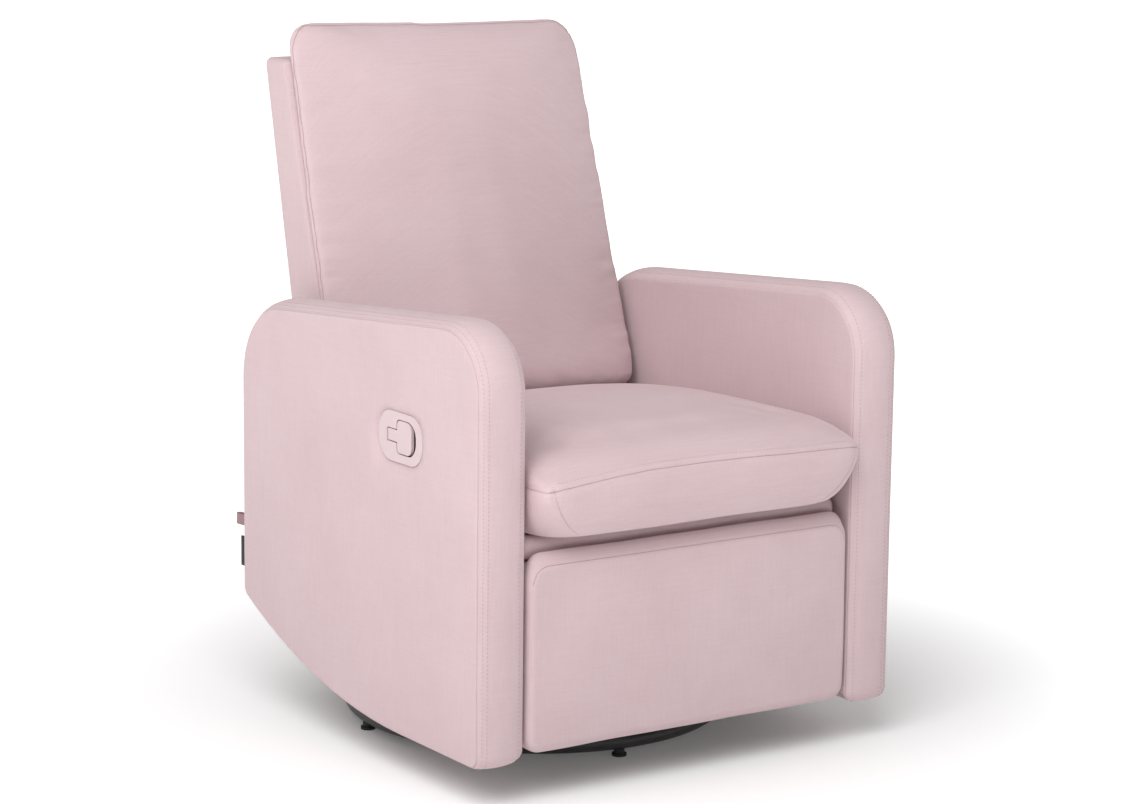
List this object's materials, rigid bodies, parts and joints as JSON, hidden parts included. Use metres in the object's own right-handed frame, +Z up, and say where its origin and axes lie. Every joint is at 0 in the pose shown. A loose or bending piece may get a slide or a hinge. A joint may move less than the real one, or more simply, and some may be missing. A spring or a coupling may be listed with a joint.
{
  "type": "glider nursery chair",
  "caption": "Upholstered swivel glider recliner: padded arms, boxed seat cushion, tall back cushion, fold-out footrest, side release pull and a round swivel base.",
  "frame": {"origin": "floor level, under the centre of the chair's bounding box", "axes": "+Z up, the chair faces -Y, +X to the right as seen from the front"},
  "size_m": [0.73, 0.818, 1.036],
  "materials": {
    "pink_fabric": "fine woven upholstery cloth, blush pink",
    "pink_plastic": "satin moulded plastic, blush pink",
    "black_metal": "satin black powder coat",
    "steel": "zinc plated",
    "spring_steel": "oiled spring wire",
    "wood": "plain sawn",
    "black_plastic": "matte",
    "black_fabric": "woven tape, blank"
  },
  "bodies": {
    "base": {"base_ring": "black_metal", "base_cross_bars": "black_metal", "base_feet": "black_plastic", "bearing_lower_plate": "steel", "bearing_balls": "steel", "swivel_post": "steel"},
    "turntable": {"bearing_upper_plate": "steel", "turntable_beams": "black_metal", "left_glide_bracket": "black_metal", "right_glide_bracket": "black_metal", "glide_top_pins": "steel"},
    "rear_links": {"rear_glide_links": "steel"},
    "front_links": {"front_glide_links": "steel"},
    "seat": {"glide_axles": "black_metal", "left_mechanism_plate": "black_metal", "right_mechanism_plate": "black_metal", "left_seat_rail": "wood", "right_seat_rail": "wood", "front_rail": "wood", "rear_rail": "wood", "seat_springs": "spring_steel", "spring_clips": "spring_steel", "seat_deck": "pink_fabric", "seat_cushion": "pink_fabric", "front_rail_pad": "pink_fabric", "rear_panel": "pink_fabric", "rear_panel_rail": "wood", "left_arm_frame": "wood", "right_arm_frame": "wood", "left_arm_pad": "pink_fabric", "right_arm_pad": "pink_fabric", "arm_bolts": "steel", "recline_pins": "steel", "footrest_pivot_pins": "steel", "handle_housing": "pink_plastic", "handle_pin": "steel", "handle_spring": "spring_steel", "pull_tab": "pink_fabric", "blank_label": "black_fabric"},
    "back": {"back_stiles": "wood", "back_top_rail": "wood", "back_bottom_rail": "wood", "back_springs": "spring_steel", "back_brackets": "black_metal", "back_pad": "pink_fabric", "back_cushion": "pink_fabric"},
    "rear_lift": {"rear_lift_bars": "steel", "footrest_torque_tube": "black_metal", "rear_lift_rivets": "steel"},
    "rear_cross": {"rear_cross_bars": "steel", "rear_cross_rivets": "steel"},
    "front_lift": {"front_lift_bars": "steel", "front_lift_rivets": "steel"},
    "front_cross": {"front_cross_bars": "steel", "front_cross_rivets": "steel"},
    "footrest": {"footrest_brackets": "black_metal", "footrest_board": "wood", "footrest_pad": "pink_fabric"},
    "release_pull": {"release_paddle": "pink_plastic"}
  },
  "joints": [
    {"name": "swivel", "type": "hinge", "parent": "base", "child": "turntable", "pos_m": [0, 0.046, 0.05], "axis": [0, 0, 1], "continuous": true},
    {"name": "glide", "type": "hinge", "parent": "turntable", "child": "rear_links", "pos_m": [0, 0.156, 0.195], "axis": [1, 0, 0], "range_deg": [-14, 14]},
    {"name": "glide_carriage", "type": "hinge", "parent": "rear_links", "child": "seat", "pos_m": [0, 0.156, 0.085], "axis": [1, 0, 0], "range_deg": [-14, 14]},
    {"name": "glide_front", "type": "hinge", "parent": "turntable", "child": "front_links", "pos_m": [0, -0.064, 0.195], "axis": [1, 0, 0], "range_deg": [-14, 14]},
    {"name": "recline", "type": "hinge", "parent": "seat", "child": "back", "pos_m": [0, 0.232, 0.318], "axis": [-1, 0, 0], "range_deg": [0, 30]},
    {"name": "footrest_open", "type": "hinge", "parent": "seat", "child": "rear_lift", "pos_m": [0, -0.21692, 0.29774], "axis": [-1, 0, 0], "range_deg": [0, 55]},
    {"name": "footrest_rear_crossing", "type": "hinge", "parent": "rear_lift", "child": "rear_cross", "pos_m": [0, -0.24449, 0.20161], "axis": [1, 0, 0], "range_deg": [0, 110]},
    {"name": "footrest_middle", "type": "hinge", "parent": "rear_cross", "child": "front_lift", "pos_m": [0, -0.25146, 0.30137], "axis": [-1, 0, 0], "range_deg": [0, 110]},
    {"name": "footrest_front_crossing", "type": "hinge", "parent": "front_lift", "child": "front_cross", "pos_m": [0, -0.27902, 0.20524], "axis": [1, 0, 0], "range_deg": [0, 110]},
    {"name": "footrest_tilt", "type": "hinge", "parent": "front_cross", "child": "footrest", "pos_m": [0, -0.286, 0.305], "axis": [-1, 0, 0], "range_deg": [0, 146]},
    {"name": "release", "type": "hinge", "parent": "seat", "child": "release_pull", "pos_m": [-0.3593, -0.128, 0.497], "axis": [0, 0, -1], "range_deg": [0, 30], "stiffness_Nm_per_rad": 0.4}
  ],
  "couplings": [
    {"joint": "glide_carriage", "follows": "glide", "ratio": -1},
    {"joint": "glide_front", "follows": "glide", "ratio": 1},
    {"joint": "footrest_rear_crossing", "follows": "footrest_open", "ratio": 2},
    {"joint": "footrest_middle", "follows": "footrest_open", "ratio": 2},
    {"joint": "footrest_front_crossing", "follows": "footrest_open", "ratio": 2},
    {"joint": "footrest_tilt", "follows": "footrest_open", "ratio": 2.6364}
  ]
}
